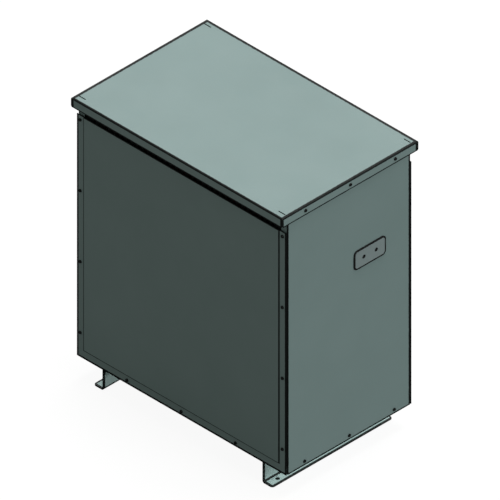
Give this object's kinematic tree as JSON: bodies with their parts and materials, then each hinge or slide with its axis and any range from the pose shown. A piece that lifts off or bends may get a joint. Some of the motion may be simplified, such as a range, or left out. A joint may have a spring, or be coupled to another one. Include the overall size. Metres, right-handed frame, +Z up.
{
  "type": "dry-type transformer",
  "caption": "Floor-standing ventilated dry-type power transformer: sheet-steel case with lift-off cover, removable panels, foot rails, and core and coils inside.",
  "frame": {"origin": "on the floor, under the middle of the top cover", "axes": "+Z up; -Y is the front, the side of the gasketed front panel; +X is the end with the ground pad"},
  "size_m": [0.769, 0.491, 0.879],
  "materials": {
    "case_paint": "satin grey paint",
    "guard_black": "matt black paint",
    "screw_steel": "dark zinc",
    "gasket_rubber": "closed-cell foam",
    "mount_rubber": "moulded rubber",
    "ground_plate": "satin grey paint",
    "bare_copper": "bright copper",
    "tinned_copper": "dull tin plate",
    "core_steel": "varnished laminations",
    "clamp_paint": "dark grey paint",
    "inner_winding": "varnished sheet winding",
    "outer_winding": "varnished wire winding",
    "board_laminate": "glass-polyester board",
    "link_brass": "satin brass"
  },
  "bodies": {
    "case": {"base_pan": "case_paint", "cable_entry_plate": "case_paint", "left_foot_rail": "case_paint", "right_foot_rail": "case_paint", "left_end_panel": "case_paint", "right_end_panel": "case_paint", "front_header_rail": "case_paint", "back_header_rail": "case_paint", "front_outlet_screen": "guard_black", "back_outlet_screen": "guard_black", "left_end_panel_screws": "screw_steel", "right_end_panel_screws": "screw_steel", "mounting_bolt_left_front": "screw_steel", "mounting_bolt_right_front": "screw_steel", "mounting_bolt_left_back": "screw_steel", "mounting_bolt_right_back": "screw_steel", "isolation_pad_left_front": "mount_rubber", "isolation_pad_right_front": "mount_rubber", "isolation_pad_left_back": "mount_rubber", "isolation_pad_right_back": "mount_rubber", "ground_pad": "ground_plate", "ground_bar": "bare_copper", "ground_strap": "tinned_copper", "neutral_bus_bar": "tinned_copper", "bus_bar_left": "tinned_copper", "bus_bar_centre": "tinned_copper", "bus_bar_right": "tinned_copper", "core_yoke_lower": "core_steel", "core_yoke_upper": "core_steel", "core_leg_left": "core_steel", "core_leg_centre": "core_steel", "core_leg_right": "core_steel", "core_clamp_lower_front": "clamp_paint", "core_clamp_lower_back": "clamp_paint", "core_clamp_upper_front": "clamp_paint", "core_clamp_upper_back": "clamp_paint", "low_voltage_winding_left": "inner_winding", "low_voltage_winding_centre": "inner_winding", "low_voltage_winding_right": "inner_winding", "high_voltage_winding_left": "outer_winding", "high_voltage_winding_centre": "outer_winding", "high_voltage_winding_right": "outer_winding", "terminal_board": "board_laminate", "tap_board_left": "board_laminate", "tap_board_centre": "board_laminate", "tap_board_right": "board_laminate"},
    "cover": {"top_cover": "case_paint", "left_cover_screws": "screw_steel", "right_cover_screws": "screw_steel"},
    "front_panel": {"front_panel": "case_paint", "front_panel_gasket": "gasket_rubber", "front_panel_screws": "screw_steel"},
    "back_panel": {"back_panel": "case_paint", "back_panel_screws": "screw_steel"},
    "tap_link_left": {"tap_link_left": "link_brass"},
    "tap_link_centre": {"tap_link_centre": "link_brass"},
    "tap_link_right": {"tap_link_right": "link_brass"}
  },
  "joints": [
    {"name": "cover_lift", "type": "slide", "parent": "case", "child": "cover", "axis": [0, 0, 1], "range_m": [0, 0.1]},
    {"name": "front_panel_pull", "type": "slide", "parent": "case", "child": "front_panel", "axis": [0, -1, 0], "range_m": [0, 0.15]},
    {"name": "back_panel_pull", "type": "slide", "parent": "case", "child": "back_panel", "axis": [0, 1, 0], "range_m": [0, 0.15]},
    {"name": "tap_link_left_swing", "type": "hinge", "parent": "case", "child": "tap_link_left", "pos_m": [-0.2, -0.1181, 0.34], "axis": [0, 1, 0], "range_deg": [-40, 40]},
    {"name": "tap_link_centre_swing", "type": "hinge", "parent": "case", "child": "tap_link_centre", "pos_m": [0, -0.1181, 0.34], "axis": [0, 1, 0], "range_deg": [-40, 40]},
    {"name": "tap_link_right_swing", "type": "hinge", "parent": "case", "child": "tap_link_right", "pos_m": [0.2, -0.1181, 0.34], "axis": [0, 1, 0], "range_deg": [-40, 40]}
  ]
}
